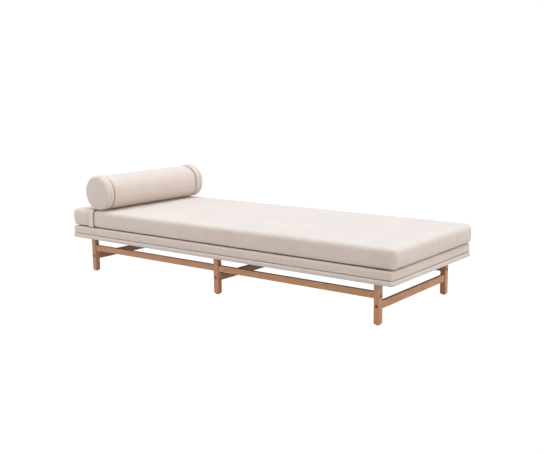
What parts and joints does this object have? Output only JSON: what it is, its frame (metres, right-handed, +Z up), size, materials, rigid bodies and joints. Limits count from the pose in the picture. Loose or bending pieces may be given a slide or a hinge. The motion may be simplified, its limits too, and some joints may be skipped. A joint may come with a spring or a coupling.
{
  "type": "daybed",
  "caption": "Low upholstered daybed: slim square wooden legs tied by rails, a padded deck, a loose flat mattress and a round bolster held by a strap round the mattress.",
  "frame": {"origin": "on the floor under the middle of the bed, the bottom centre of its bounding box", "axes": "+X along the length towards the foot end (the bolster lies at -X), -Y the front long side, +Z up"},
  "size_m": [2.012, 0.75, 0.5318],
  "materials": {
    "oak": "clear matt oil over reddish-tan oak or ash",
    "pine": "rough sawn",
    "plywood": "raw",
    "cream_fabric": "plain-weave warm cream upholstery cloth",
    "dust_cloth": "thin non-woven black cloth",
    "webbing": "woven elastic webbing",
    "foam": null,
    "dark_steel": "blackened",
    "zinc_steel": "zinc plated",
    "dark_plastic": "matt",
    "cream_plastic": "fine hook pile"
  },
  "bodies": {
    "base": {"leg_front_head": "oak", "leg_front_middle": "oak", "leg_front_foot": "oak", "leg_back_head": "oak", "leg_back_middle": "oak", "leg_back_foot": "oak", "glide_front_head": "dark_plastic", "glide_front_middle": "dark_plastic", "glide_front_foot": "dark_plastic", "glide_back_head": "dark_plastic", "glide_back_middle": "dark_plastic", "glide_back_foot": "dark_plastic", "deck_stud_front_head": "zinc_steel", "deck_stud_front_middle": "zinc_steel", "deck_stud_front_foot": "zinc_steel", "deck_stud_back_head": "zinc_steel", "deck_stud_back_middle": "zinc_steel", "deck_stud_back_foot": "zinc_steel", "cross_bolt_front_head": "dark_steel", "cross_bolt_front_middle": "dark_steel", "cross_bolt_front_foot": "dark_steel", "cross_bolt_back_head": "dark_steel", "cross_bolt_back_middle": "dark_steel", "cross_bolt_back_foot": "dark_steel", "long_bolt_front_head": "dark_steel", "long_bolt_front_foot": "dark_steel", "long_bolt_back_head": "dark_steel", "long_bolt_back_foot": "dark_steel", "long_rail_front_head": "oak", "long_rail_front_foot": "oak", "long_rail_back_head": "oak", "long_rail_back_foot": "oak", "cross_rail_head": "oak", "cross_rail_middle": "oak", "cross_rail_foot": "oak", "deck_board": "plywood", "deck_band_cover": "cream_fabric", "deck_dust_cover": "dust_cloth", "deck_rail_front": "pine", "deck_rail_back": "pine", "deck_rail_head": "pine", "deck_rail_foot": "pine", "deck_crossbar_head": "pine", "deck_crossbar_foot": "pine", "deck_webbing": "webbing", "deck_foam": "foam", "deck_cover": "cream_fabric"},
    "mattress": {"mattress_core": "foam", "mattress_cover": "cream_fabric", "mattress_zip": "cream_fabric"},
    "mattress_zip_pull": {"mattress_zip_slider": "zinc_steel"},
    "bolster": {"bolster_core": "foam", "bolster_sleeve": "cream_fabric", "bolster_cap_front": "cream_fabric", "bolster_cap_back": "cream_fabric", "bolster_zip": "cream_fabric", "bolster_flap": "cream_fabric", "mattress_strap": "cream_fabric", "strap_hook_tape": "cream_plastic"},
    "bolster_zip_pull": {"bolster_zip_slider": "zinc_steel"}
  },
  "joints": [
    {"name": "mattress_lift", "type": "slide", "parent": "base", "child": "mattress", "axis": [0, 0, 1], "range_m": [0, 0.3]},
    {"name": "bolster_slide", "type": "slide", "parent": "mattress", "child": "bolster", "axis": [1, 0, 0], "range_m": [0, 1.6]},
    {"name": "mattress_zip_slide", "type": "slide", "parent": "mattress", "child": "mattress_zip_pull", "axis": [0, 1, 0], "range_m": [0, 0.55]},
    {"name": "bolster_zip_slide", "type": "slide", "parent": "bolster", "child": "bolster_zip_pull", "axis": [0, 1, 0], "range_m": [0, 0.55]}
  ]
}
